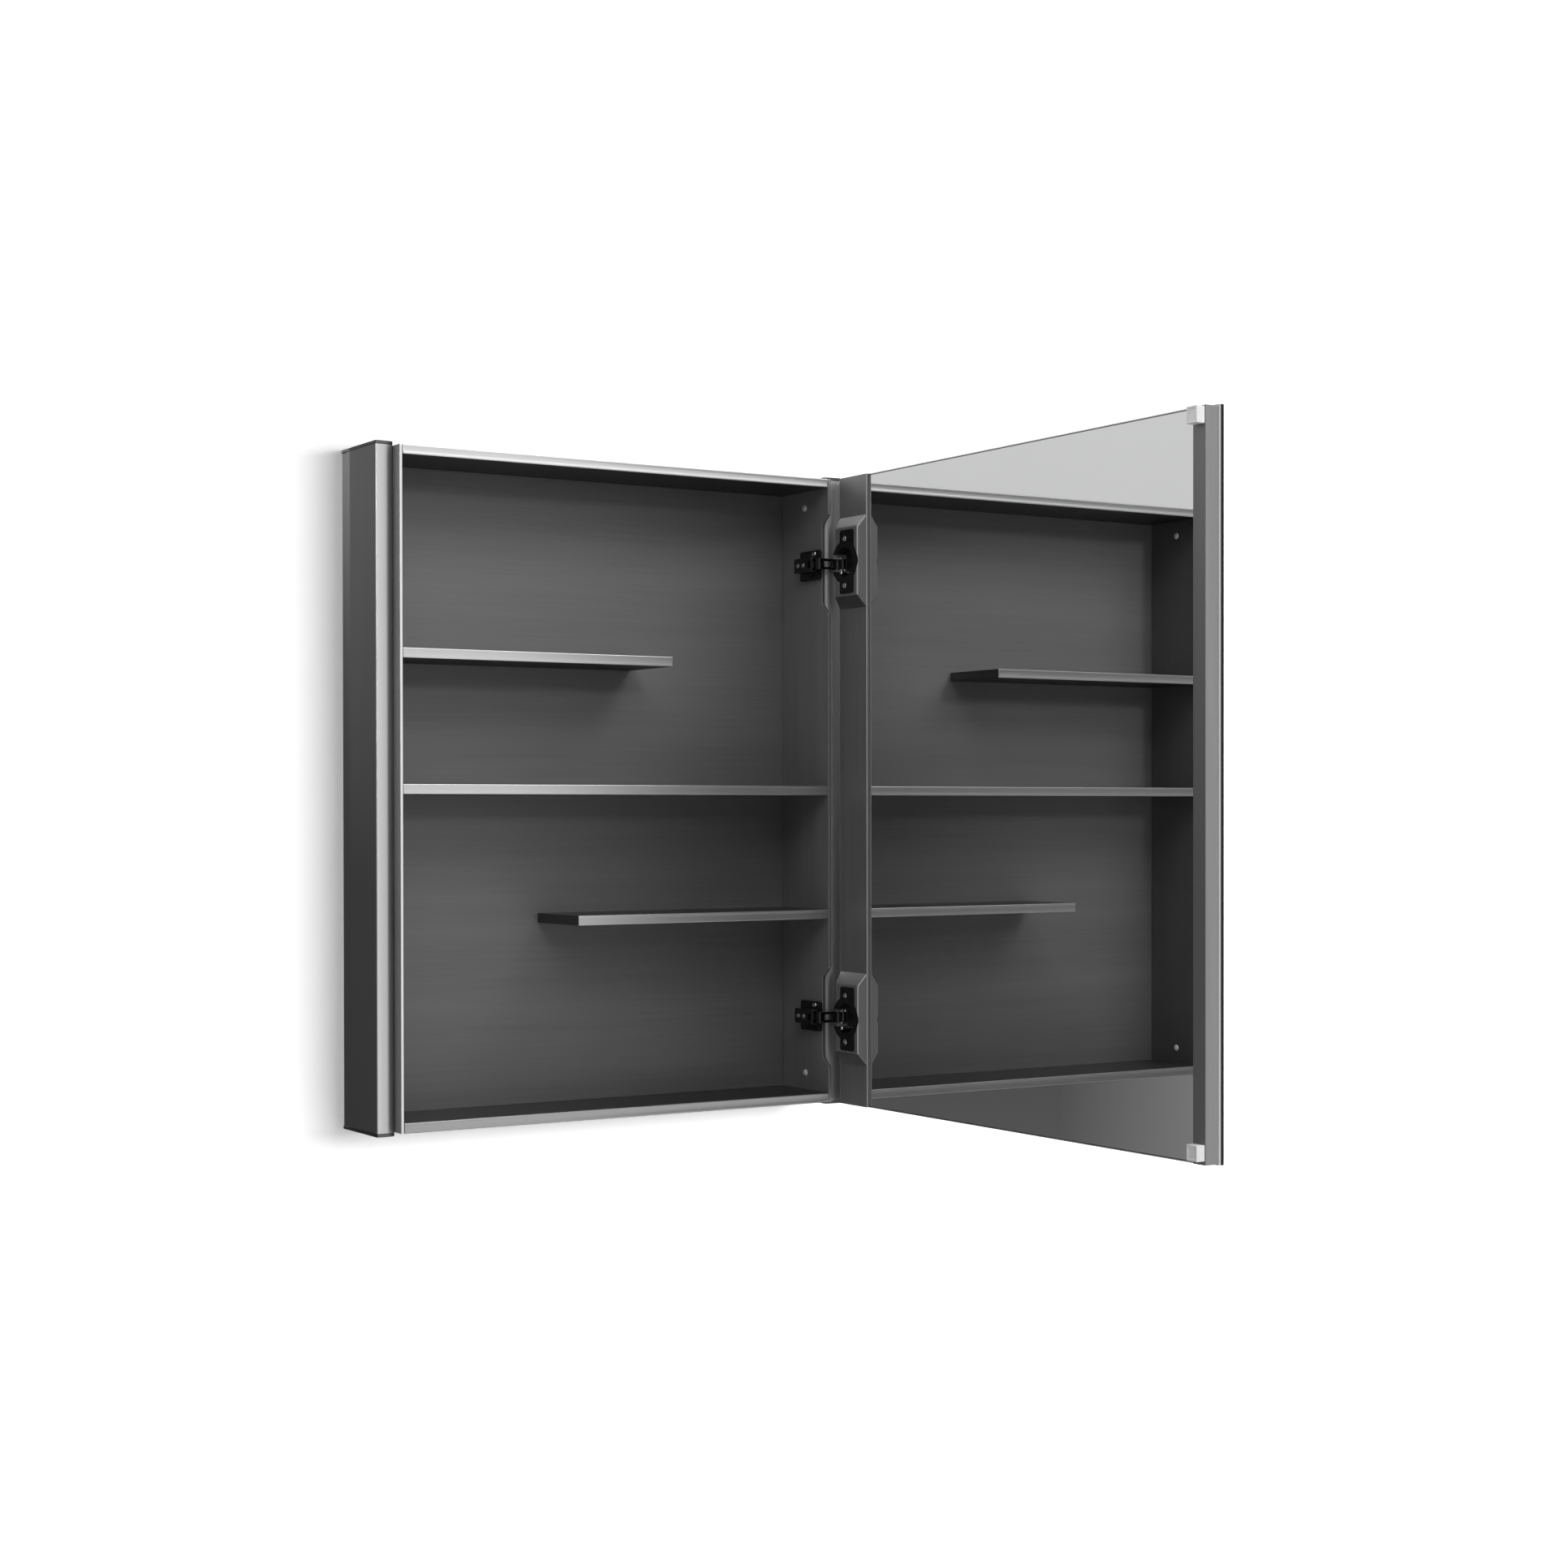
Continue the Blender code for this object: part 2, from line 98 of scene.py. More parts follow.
wall_paint = bpy.data.materials.new("wall_paint")
wall_paint.use_nodes = True
tree = wall_paint.node_tree
tree.nodes.clear()
paint_out = tree.nodes.new("ShaderNodeOutputMaterial")
path = tree.nodes.new("ShaderNodeLightPath")
side_seen = tree.nodes.new("ShaderNodeNewGeometry")
place = tree.nodes.new("ShaderNodeTexCoord")
split = tree.nodes.new("ShaderNodeSeparateXYZ")
tree.links.new(place.outputs["Object"], split.inputs[0])
# in reflections it glows with painted light and shade: dark below and light above, and dark on the far left
height = stretch(tree, split.outputs["Z"], -0.75, 0.75)
main_tones = shades(tree, height, ((0.0, 0.16), (0.30, 0.085), (0.45, 0.13), (0.68, 0.63), (1.0, 0.72)))
left_tones = shades(tree, height, ((0.0, 0.20), (0.45, 0.20), (0.68, 0.63), (1.0, 0.72)))
along = tree.nodes.new("ShaderNodeMix")
along.data_type = "RGBA"
tree.links.new(stretch(tree, split.outputs["X"], -0.10, -0.30), along.inputs[0])
tree.links.new(main_tones, along.inputs[6])
tree.links.new(left_tones, along.inputs[7])
beyond = tree.nodes.new("ShaderNodeMix")
beyond.data_type = "RGBA"
beyond.inputs[7].default_value = grey(0.20)
tree.links.new(stretch(tree, split.outputs["X"], -0.32, -0.60), beyond.inputs[0])
tree.links.new(along.outputs[2], beyond.inputs[6])
painted_reflection = tree.nodes.new("ShaderNodeEmission")
tree.links.new(beyond.outputs[2], painted_reflection.inputs["Color"])
# looked at directly it is white, with a little light of its own
white = tree.nodes.new("ShaderNodeBsdfDiffuse")
white.inputs["Color"].default_value = grey(1.0)
soft_fill = tree.nodes.new("ShaderNodeEmission")
soft_fill.inputs["Color"].default_value = grey(0.23)
washed = tree.nodes.new("ShaderNodeAddShader")
tree.links.new(white.outputs[0], washed.inputs[0])
tree.links.new(soft_fill.outputs[0], washed.inputs[1])
wall_front = mixed(tree, path.outputs["Is Camera Ray"], painted_reflection.outputs[0], washed.outputs[0])
# it is clear from behind, to shadows and to what lies right on it
near_wall = tree.nodes.new("ShaderNodeMath")
near_wall.operation = "LESS_THAN"
near_wall.inputs[1].default_value = 0.02
tree.links.new(path.outputs["Ray Length"], near_wall.inputs[0])
clear_when = near_wall.outputs[0]
for other_case in (path.outputs["Is Shadow Ray"], side_seen.outputs["Backfacing"]):
    either = tree.nodes.new("ShaderNodeMath")
    either.operation = "MAXIMUM"
    tree.links.new(clear_when, either.inputs[0])
    tree.links.new(other_case, either.inputs[1])
    clear_when = either.outputs[0]
clear = tree.nodes.new("ShaderNodeBsdfTransparent")
tree.links.new(mixed(tree, clear_when, wall_front, clear.outputs[0]), paint_out.inputs["Surface"])

bpy.ops.object.select_all(action="DESELECT")
bpy.ops.mesh.primitive_plane_add(size=1.0, location=(0.0, WALL_BEHIND, WALL_MIDDLE),
                                 rotation=(math.radians(90), 0.0, 0.0))
wall = bpy.context.object
wall.name = "room_wall"
wall.scale = (WALL_WIDE, WALL_TALL, 1.0)
bpy.ops.object.transform_apply(location=True, rotation=True, scale=True)
wall.data.materials.append(wall_paint)

floor_paint = bpy.data.materials.new("floor_paint")
floor_paint.use_nodes = True
tree = floor_paint.node_tree
floor_look = tree.nodes["Principled BSDF"]
floor_look.inputs["Roughness"].default_value = 0.8
speckle = tree.nodes.new("ShaderNodeTexNoise")
speckle.inputs["Scale"].default_value = 3.0
floor_tones = shades(tree, speckle.outputs["Fac"], ((0.0, 0.78), (1.0, 0.84)))
tree.links.new(floor_tones, floor_look.inputs["Base Color"])
bpy.ops.object.select_all(action="DESELECT")
bpy.ops.mesh.primitive_plane_add(size=FLOOR_SIZE, location=(0.0, 0.0, FLOOR_LEVEL))
floor = bpy.context.object
floor.name = "room_floor"
floor.data.materials.append(floor_paint)

world = bpy.data.worlds.new("studio")
bpy.context.scene.world = world
world.use_nodes = True
sky = world.node_tree
sky.nodes.clear()
sky_out = sky.nodes.new("ShaderNodeOutputWorld")
sky_path = sky.nodes.new("ShaderNodeLightPath")
sky_place = sky.nodes.new("ShaderNodeTexCoord")
sky_split = sky.nodes.new("ShaderNodeSeparateXYZ")
sky.links.new(sky_place.outputs["Generated"], sky_split.inputs[0])
sky_height = stretch(sky, sky_split.outputs["Z"], -1.0, 1.0)
sky_lit = sky.nodes.new("ShaderNodeBackground")
sky.links.new(shades(sky, sky_height, ((0.0, 0.10), (0.5, 0.14), (1.0, 0.32))), sky_lit.inputs["Color"])
sky_seen = sky.nodes.new("ShaderNodeBackground")
sky_seen.inputs["Color"].default_value = grey(0.93)
sky.links.new(mixed(sky, sky_path.outputs["Is Camera Ray"], sky_lit.outputs[0], sky_seen.outputs[0]),
              sky_out.inputs["Surface"])

lamps = {}


def hang(name, light, power, spot, aim):
    """Put a lamp up and turn it towards what it lights."""
    light.energy = power
    lamps[name] = bpy.data.objects.new(name, light)
    bpy.context.scene.collection.objects.link(lamps[name])
    lamps[name].location = spot
    lamps[name].rotation_euler = (Vector(aim) - Vector(spot)).to_track_quat("-Z", "Y").to_euler()


for name, spot, aim, wide, tall, power in (
    ("key_light", (1.5, -2.2, 2.7), (0.0, 0.0, 0.0), 2.4, 2.2, 66.0),
    ("tall_light", (1.45, -2.9, -0.1), (0.0, 0.0, 0.0), 1.6, 2.6, 14.0),
    ("front_light", (-1.2, -2.6, 2.3), (0.0, 0.0, 0.0), 2.4, 2.0, 44.0),
    ("rear_light", (-1.2, 3.0, 1.6), (0.0, 0.0, 0.0), 2.5, 2.0, 40.0),
    ("wall_light", (0.95, -3.0, 0.30), (-0.2, 0.0, 0.0), 2.2, 0.9, 80.0),
):
    panel = bpy.data.lights.new(name, "AREA")
    panel.shape = "RECTANGLE"
    panel.size, panel.size_y = wide, tall
    hang(name, panel, power, spot, aim)
beam = bpy.data.lights.new("glow_light", "SPOT")
beam.spot_size = math.radians(9.0)
beam.spot_blend = 1.0
beam.shadow_soft_size = 0.25
hang("glow_light", beam, 120.0, (-0.45, -2.2, 0.75), (-0.11, 0.0, 0.14))

# the wall has a lamp of its own, and only the cabinet throws a shadow from it
unlit = bpy.data.collections.new("unlit")
only_wall = bpy.data.collections.new("only_wall")
casts_on_wall = bpy.data.collections.new("casts_on_wall")


def keep_lamps_off(*things):
    """Leave these out of the light of every lamp but the wall's."""
    for thing in things:
        unlit.objects.link(thing)
    for entry in unlit.collection_objects:
        entry.light_linking.link_state = "EXCLUDE"


keep_lamps_off(wall)
only_wall.objects.link(wall)
casts_on_wall.objects.link(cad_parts["back_panel"])
for name, lamp in lamps.items():
    lamp.light_linking.receiver_collection = only_wall if name == "wall_light" else unlit
lamps["wall_light"].light_linking.blocker_collection = casts_on_wall

# ---- back panel ---------------------------------------------------------------
# A flat sheet of dark anodised aluminium, finely brushed from side to side,
# with seven screw holes for the shelves.
SCRATCH_DENT, DENT_DEEP = 0.04, 0.0002


def surfaced(look, pattern, relief, tone, swing, shine, play, dent):
    """Let a pattern vary the tone and gloss of a finish, and a relief its height."""
    tree = look.node_tree
    shader = tree.nodes["Principled BSDF"]
    tones = shades(tree, pattern, ((0.3, tone * (1 - swing)), (0.7, min(1.0, tone * (1 + swing)))))
    gloss = stretch(tree, pattern, 0.0, 1.0, max(0.0, shine - play), shine + play)
    bump = tree.nodes.new("ShaderNodeBump")
    bump.inputs["Strength"].default_value = dent
    bump.inputs["Distance"].default_value = DENT_DEEP
    tree.links.new(relief, bump.inputs["Height"])
    tree.links.new(tones, shader.inputs["Base Color"])
    tree.links.new(gloss, shader.inputs["Roughness"])
    tree.links.new(bump.outputs["Normal"], shader.inputs["Normal"])
    return look


def brushed(name, tone, shine, grain, metal=0.9, swing=0.10):
    """Anodised aluminium: fine scratches that run along one axis of the piece."""
    look = bpy.data.materials.new(name)
    look.use_nodes = True
    tree = look.node_tree
    tree.nodes["Principled BSDF"].inputs["Metallic"].default_value = metal
    where = tree.nodes.new("ShaderNodeTexCoord")
    layers = []
    for along, across, detail in ((9.0, 620.0, 3.0), (2.0, 42.0, 2.0)):
        drawn_out = tree.nodes.new("ShaderNodeMapping")
        drawn_out.inputs["Scale"].default_value = [along if axis == grain else across for axis in "XYZ"]
        noise = tree.nodes.new("ShaderNodeTexNoise")
        noise.inputs["Scale"].default_value = 1.0
        noise.inputs["Detail"].default_value = detail
        tree.links.new(where.outputs["Object"], drawn_out.inputs["Vector"])
        tree.links.new(drawn_out.outputs["Vector"], noise.inputs["Vector"])
        layers.append(noise.outputs["Fac"])
    scratches, clouds = layers
    pattern = tree.nodes.new("ShaderNodeMix")
    pattern.inputs[0].default_value = 0.55
    tree.links.new(scratches, pattern.inputs[2])
    tree.links.new(clouds, pattern.inputs[3])
    return surfaced(look, pattern.outputs[0], scratches, tone, swing, shine, 0.04, SCRATCH_DENT)


def paint_node(name, look):
    """Give a carried-over piece its finish."""
    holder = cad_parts[name]
    if not holder.material_slots:
        holder.data.materials.append(look)
    for place in holder.material_slots:
        place.material = look


paint_node("back_panel", brushed("back_sheet", 0.157, 0.55, "X", metal=0.5))

# ---- side walls ---------------------------------------------------------------
# Two sheets of anodised aluminium, whose fronts stand proud as the raised lip.
# The right one is cut away where the hinge bosses enter when the door shuts.
WALL_EASE, LIP_ZONE = 0.00055, 0.0006
PLUG_HOLE = 0.0025
NOTCH_MOUTH, NOTCH_DEEP, NOTCH_FLOOR = 0.0506, 0.0385, -0.0708    # half heights, and where it ends in y
NOTCH_LEAD, NOTCH_ROUND = 0.0030, 0.0025
OVER = 0.004        # a cutting tool reaches this far past the piece
NEAR = 0.0001       # places closer than this are the same
# one anodising in painted copies: faces turned to -X are lighter, painted light, and the lip fronts lighter
# still, a painted highlight that is dimmer on the right, painted shade of the door
wall_sheet = brushed("wall_sheet", 0.10, 0.46, "Z", metal=0.5)
wall_lit = brushed("wall_lit", 0.26, 0.46, "Z", metal=0.5)
lip_side_lit = brushed("lip_side_lit", 0.40, 0.42, "Z", metal=0.5)
lip_front_highlight = brushed("lip_front_highlight", 0.80, 0.36, "Z", metal=1.0, swing=0.05)
shaded_edge = brushed("shaded_edge", 0.42, 0.36, "Z", metal=1.0, swing=0.05)


def take_up(piece):
    """Select one piece alone."""
    bpy.ops.object.select_all(action="DESELECT")
    piece.select_set(True)
    bpy.context.view_layer.objects.active = piece


def bar(name, low, high, ease=0.0, steps=3):
    """A rectangular bar between two corners, its edges eased all round."""
    low, high = Vector(low), Vector(high)
    bpy.ops.object.select_all(action="DESELECT")
    bpy.ops.mesh.primitive_cube_add(size=1.0, location=(low + high) / 2)
    piece = bpy.context.object
    piece.name = name
    piece.scale = high - low
    bpy.ops.object.transform_apply(location=True, rotation=True, scale=True)
    if ease:
        bpy.ops.object.mode_set(mode="EDIT")
        bpy.ops.mesh.select_all(action="SELECT")
        bpy.ops.mesh.bevel(offset=ease, segments=steps)
        bpy.ops.object.mode_set(mode="OBJECT")
    return piece


def pick(piece, test, kind="FACE"):
    """Enter edit mode with only the faces or edges that pass the test selected."""
    take_up(piece)
    bpy.ops.object.mode_set(mode="EDIT")
    bpy.ops.mesh.select_mode(type=kind)
    bpy.ops.mesh.select_all(action="DESELECT")
    bpy.ops.object.mode_set(mode="OBJECT")
    mesh = piece.data
    if kind == "FACE":
        for face in mesh.polygons:
            face.select = test(face)
    else:
        for edge in mesh.edges:
            edge.select = test(*[mesh.vertices[i].co for i in edge.vertices])
    bpy.ops.object.mode_set(mode="EDIT")


def shift(piece, test, by):
    """Move the edges that pass the test."""
    pick(piece, test, "EDGE")
    bpy.ops.transform.translate(value=by)
    bpy.ops.object.mode_set(mode="OBJECT")


def round_off(piece, test, size, steps):
    """Round the edges that pass the test."""
    pick(piece, test, "EDGE")
    bpy.ops.mesh.bevel(offset=size, segments=steps)
    bpy.ops.object.mode_set(mode="OBJECT")


def put_on(piece, kind, **settings):
    """Add a modifier and apply it at once."""
    take_up(piece)
    change = piece.modifiers.new("change", kind)
    for key, value in settings.items():
        setattr(change, key, value)
    bpy.ops.object.modifier_apply(modifier=change.name)
    return piece


def carve(piece, tool, way="DIFFERENCE"):
    """Cut a tool out of a piece, or grow the piece by it."""
    put_on(piece, "BOOLEAN", operation=way, solver="EXACT", object=tool)
    bpy.data.objects.remove(tool, do_unlink=True)
    return piece


def rod(centre, along, radius, length, sides=32):
    """A round bar along one axis."""
    turn = {"X": (0.0, math.pi / 2, 0.0), "Y": (math.pi / 2, 0.0, 0.0), "Z": (0.0, 0.0, 0.0)}[along]
    bpy.ops.object.select_all(action="DESELECT")
    bpy.ops.mesh.primitive_cylinder_add(vertices=sides, radius=radius, depth=length,
                                        location=centre, rotation=turn)
    bpy.ops.object.transform_apply(location=True, rotation=True, scale=True)
    return bpy.context.object


def ease_edges(piece, width, steps=3, angle=35):
    """Round every edge that is sharper than an angle."""
    return put_on(piece, "BEVEL", width=width, segments=steps, limit_method="ANGLE",
                  angle_limit=math.radians(angle), use_clamp_overlap=True)


def lit_and_shaded_faces(axis, front, zone):
    """Number faces for lit and shaded copies of one finish, painted light and shade: 1 at the front, 2
    against an axis, 0 elsewhere.
    """
    def number(face):
        if face.normal.y < -0.35 and face.center.y < front + zone:
            return 1
        return 2 if face.normal["XYZ".index(axis)] < -0.5 else 0
    return number


def finish(piece, body, slot, looks, *nodes, choose=None, smooth=32):
    """Smooth a piece, give it its finishes and let it stand for its plain nodes."""
    piece.data.materials.clear()
    for look in looks:
        piece.data.materials.append(look)
    if choose:
        for face in piece.data.polygons:
            face.material_index = choose(face)
    take_up(piece)
    bpy.ops.object.shade_smooth_by_angle(angle=math.radians(smooth))
    put_on(piece, "WEIGHTED_NORMAL", keep_sharp=True, weight=100)
    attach(piece, body)
    if body == "cabinet":
        casts_on_wall.objects.link(piece)
    if nodes:
        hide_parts(*nodes)
    return piece


def middle_of(node):
    low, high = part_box(node)
    return (low + high) / 2


hinge_heights = {key: middle_of("hinge_cup_" + key).z for key in ("upper", "lower")}
for side in ("left", "right"):
    low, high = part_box(side + "_wall")
    sheet = bar(side + "_wall_sheet", low, high)
    for level in ("low", "high"):
        plug = middle_of("wall_plug_%s_%s" % (side, level))
        carve(sheet, rod(((low.x + high.x) / 2, plug.y, plug.z), "X", PLUG_HOLE, 0.012, 24))
    for z in hinge_heights.values() if side == "right" else ():
        notch = bar("notch", (low.x - OVER, low.y - NOTCH_LEAD, z - NOTCH_MOUTH),
                    (high.x + OVER, NOTCH_FLOOR, z + NOTCH_MOUTH))
        for up in (-1, 1):
            shift(notch, lambda a, b: all(q.y > NOTCH_FLOOR - NEAR and (q.z - z) * up > 0 for q in (a, b)),
                  (0.0, 0.0, up * (NOTCH_DEEP - NOTCH_MOUTH)))
        round_off(notch, lambda a, b: min(a.y, b.y) > NOTCH_FLOOR - NEAR and abs(a.x - b.x) > 0.005,
                  NOTCH_ROUND, 5)
        carve(sheet, notch)
    ease_edges(sheet, WALL_EASE)
    # the lip fronts and the faces turned to -X get the painted light copies
    edge, facing_left = (lip_front_highlight, lip_side_lit) if side == "left" else (shaded_edge, wall_lit)
    finish(sheet, "cabinet", "anodised", [wall_sheet, edge, facing_left], side + "_wall",
           choose=lit_and_shaded_faces("X", low.y, LIP_ZONE))

# ---- top and bottom walls -----------------------------------------------------
# Solid rails of the same aluminium across the top and bottom; their front faces
# are drawn with a bead along both edges.
RAIL_EASE, RAIL_ZONE = 0.0007, 0.0012
BEAD, BEAD_DEEP, BEAD_SLOPE = 0.0013, 0.00030, 0.0005
# the fronts are lighter copies of the anodising, painted light, the top one lighter than the bottom one, and
# the undersides darker, painted shade
rail_sheet = brushed("rail_sheet", 0.12, 0.42, "X")
rail_under_shaded = brushed("rail_under_shaded", 0.07, 0.42, "X")
rail_front_lit = brushed("rail_front_lit", 0.66, 0.36, "X", metal=1.0, swing=0.05)
rail_front_shaded = brushed("rail_front_shaded", 0.40, 0.38, "X", metal=1.0, swing=0.05)


def dished(piece, test, rim, depth):
    """Press the middle of a face in and leave a rim standing."""
    pick(piece, test)
    bpy.ops.mesh.inset(thickness=rim)
    bpy.ops.mesh.inset(thickness=BEAD_SLOPE, depth=-depth)
    bpy.ops.object.mode_set(mode="OBJECT")


def beaded_bar(name, node, ease, slot, looks):
    """A bar with a beaded front: its finishes are for all round, the front, lighter as painted light, and
    below, darker as painted shade.
    """
    low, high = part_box(node)
    piece = bar(name, low, high, ease)
    dished(piece, lambda face: face.normal.y < -0.99 and abs(face.center.y - low.y) < NEAR, BEAD, BEAD_DEEP)
    finish(piece, "cabinet", slot, looks, node, choose=lit_and_shaded_faces("Z", low.y, RAIL_ZONE))


beaded_bar("top_rail", "top_wall", RAIL_EASE, "anodised", [rail_sheet, rail_front_lit, rail_under_shaded])
beaded_bar("bottom_rail", "bottom_wall", RAIL_EASE, "anodised", [rail_sheet, rail_front_shaded, rail_under_shaded])

# ---- shelves ------------------------------------------------------------------
# Three anodised shelves screwed on through the back panel: two half shelves and
# a full one between them. Each has a beaded front, lighter as painted light, and a darker underside, painted
# shade.
SHELF_EASE = 0.0006
shelf_top = brushed("shelf_top", 0.11, 0.40, "X")
shelf_under_shaded = brushed("shelf_under_shaded", 0.045, 0.46, "X")
shelf_front_lit = brushed("shelf_front_lit", 0.57, 0.34, "X", metal=1.0, swing=0.05)
for key in ("upper", "middle", "lower"):
    beaded_bar(key + "_shelf", "shelf_" + key, SHELF_EASE, "shelf", [shelf_top, shelf_front_lit, shelf_under_shaded])

# ---- side profiles ------------------------------------------------------------
# Hollow dark extrusions on both sides, rounded where they meet the lip, with a
# shallow rebate near the wall and keyholes in the back to hang the cabinet by.
TUBE, FLANGE_THICK = 0.0018, 0.0072
ROUND_WIDE, ROUND_DEEP, CORNER = 0.0112, 0.0040, 0.0008
ROLL_ZONE = 0.006
REBATE_DEPTH, REBATE_SLOPE, REBATE_IN = 0.0100, 0.0004, 0.0008
KEY_HOLE, KEY_SLOT, KEY_LONG, KEY_CUT, KEY_HEIGHTS = 0.0045, 0.0023, 0.0125, 0.0030, (-0.2000, 0.2000)
profile_side = brushed("profile_side", 0.078, 0.40, "Z", metal=0.6)
flange_corner_highlight = brushed("flange_corner_highlight", 0.88, 0.36, "Z", metal=1.0, swing=0.04)


def painted_lip_shade(look, dim, bright):
    """Painted shade: a darker tone towards the lip, which shades the flange, up to the full tone towards the
    outside of the cabinet.
    """
    tree = look.node_tree
    shader = tree.nodes["Principled BSDF"]
    tone = shader.inputs["Base Color"].links[0].from_socket
    where = tree.nodes.new("ShaderNodeTexCoord")
    split = tree.nodes.new("ShaderNodeSeparateXYZ")
    outwards = tree.nodes.new("ShaderNodeMath")
    outwards.operation = "ABSOLUTE"
    lip_shade_mix = tree.nodes.new("ShaderNodeMix")
    lip_shade_mix.data_type = "RGBA"
    lip_shade_mix.blend_type = "MULTIPLY"
    lip_shade_mix.inputs[0].default_value = 1.0
    tree.links.new(where.outputs["Object"], split.inputs[0])
    tree.links.new(split.outputs["X"], outwards.inputs[0])
    tree.links.new(tone, lip_shade_mix.inputs[6])
    tree.links.new(stretch(tree, outwards.outputs[0], dim, bright, 0.42, 1.0), lip_shade_mix.inputs[7])
    tree.links.new(lip_shade_mix.outputs[2], shader.inputs["Base Color"])
    return look


outer_x, inner_x = [abs(corner.x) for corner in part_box("left_side_profile")]
# the flange fronts are lighter copies of the anodising, painted light; on the right the painted shade reaches
# the full tone halfway across
flange_painted_light = painted_lip_shade(brushed("flange_painted_light", 0.68, 0.34, "Z", metal=1.0, swing=0.05),
                       inner_x, inner_x + 1.05 * (outer_x - inner_x))
flange_painted_shade = painted_lip_shade(brushed("flange_painted_shade", 0.80, 0.34, "Z", metal=1.0, swing=0.05),
                    inner_x, inner_x + 0.50 * (outer_x - inner_x))


def profile_bar(name, outline, z_low, z_high):
    """A flat outline in X and Y given height along Z."""
    bpy.ops.object.select_all(action="DESELECT")
    bpy.ops.mesh.primitive_circle_add(vertices=len(outline), radius=0.01, fill_type="NGON")
    piece = bpy.context.object
    piece.name = name
    for vertex, (x, y) in zip(piece.data.vertices, outline):
        vertex.co = (x, y, z_low)
    pick(piece, lambda face: True)
    bpy.ops.mesh.extrude_region_move(TRANSFORM_OT_translate={"value": (0.0, 0.0, z_high - z_low)})
    bpy.ops.mesh.select_all(action="SELECT")
    bpy.ops.mesh.normals_make_consistent(inside=False)
    bpy.ops.object.mode_set(mode="OBJECT")
    return piece


def flange_outline(inner, outer, front, rebate=True):
    """Half of a side profile seen from above: flat front that rolls back towards the lip."""
    way = 1.0 if outer > inner else -1.0
    points = [(inner, 0.0)]
    for step in range(19):
        angle = math.pi / 2 * step / 18
        points.append((inner + way * ROUND_WIDE * (1.0 - math.cos(angle)),
                       front + ROUND_DEEP * (1.0 - math.sin(angle))))
    for step in range(5):
        angle = math.pi / 2 * step / 4
        points.append((outer - way * CORNER * (1.0 - math.sin(angle)),
                       front + CORNER * (1.0 - math.cos(angle))))
    if rebate:
        points += [(outer, -REBATE_DEPTH - REBATE_SLOPE), (outer - way * REBATE_IN, -REBATE_DEPTH)]
        outer -= way * REBATE_IN
    return points + [(outer, 0.0)]


for side in ("left", "right"):
    low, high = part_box(side + "_side_profile")
    inner, outer = (high.x, low.x) if side == "left" else (low.x, high.x)
    tube = profile_bar(side + "_profile", flange_outline(inner, outer, low.y), low.z, high.z)
    carve(tube, bar("hollow", (low.x + TUBE, low.y + FLANGE_THICK, low.z - OVER),
                    (high.x - TUBE, high.y - TUBE, high.z + OVER)))
    hole_x = (inner + outer) / 2
    for z in KEY_HEIGHTS:
        slot_end = z + KEY_LONG - KEY_SLOT
        carve(tube, rod((hole_x, 0.0, z), "Y", KEY_HOLE, 2 * KEY_CUT, 40))
        carve(tube, rod((hole_x, 0.0, slot_end), "Y", KEY_SLOT, 2 * KEY_CUT, 24))
        carve(tube, bar("slot", (hole_x - KEY_SLOT, -KEY_CUT, z), (hole_x + KEY_SLOT, KEY_CUT, slot_end)))
    # the flange front takes the painted light copy and its outer corner a painted highlight
    flange = flange_painted_light if side == "left" else flange_painted_shade
    finish(tube, "cabinet", "panel", [profile_side, flange, flange_corner_highlight], side + "_side_profile", smooth=25,
           choose=lambda face: 0 if face.normal.y > -0.3 or face.center.y > low.y + ROLL_ZONE
           else 2 if abs(face.center.x - outer) < CORNER else 1)

# ---- end caps -----------------------------------------------------------------
# Thin dark plates that close the hollow side profiles at both ends.
CAP_EASE = 0.0004
cap_dark = brushed("cap_dark", 0.03, 0.38, "Y")
cap_front = brushed("cap_front", 0.13, 0.38, "X", metal=1.0)
for side in ("left", "right"):
    for end in ("top", "bottom"):
        node = "%s_%s_cap" % (side, end)
        low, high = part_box(node)
        inner, outer = (high.x, low.x) if side == "left" else (low.x, high.x)
        outline = flange_outline(inner, outer, low.y, rebate=False)
        cap = ease_edges(profile_bar("%s_%s_end" % (side, end), outline, low.z, high.z), CAP_EASE, 3, 50)
        finish(cap, "cabinet", "panel", [cap_dark, cap_front], node, smooth=25,
               choose=lambda face: int(face.normal.y < -0.3 and face.center.y < low.y + ROLL_ZONE))

# ---- plugs and shelf screws ---------------------------------------------------
# Low white domes close the spare holes in the side walls; zinc screws with a
# cross recess hold the shelves from behind the back panel.
plug_shape = [(0.0, 0.0016), (0.0009, 0.00157), (0.0017, 0.00144), (0.0024, 0.00120), (0.0029, 0.00088),
              (0.0032, 0.0005), (0.0034, 0.0002), (0.0034, 0.00006), (0.0022, 0.00006),
              (0.0022, -0.0022), (0.0020, -0.0024), (0.0, -0.0024)]
screw_shape = [(0.0, -0.0002), (0.0024, -0.00024), (0.0031, -0.0004), (0.0033, -0.0007),
               (0.0018, -0.0020), (0.0018, -0.0132), (0.0012, -0.0140), (0.0, -0.0140)]


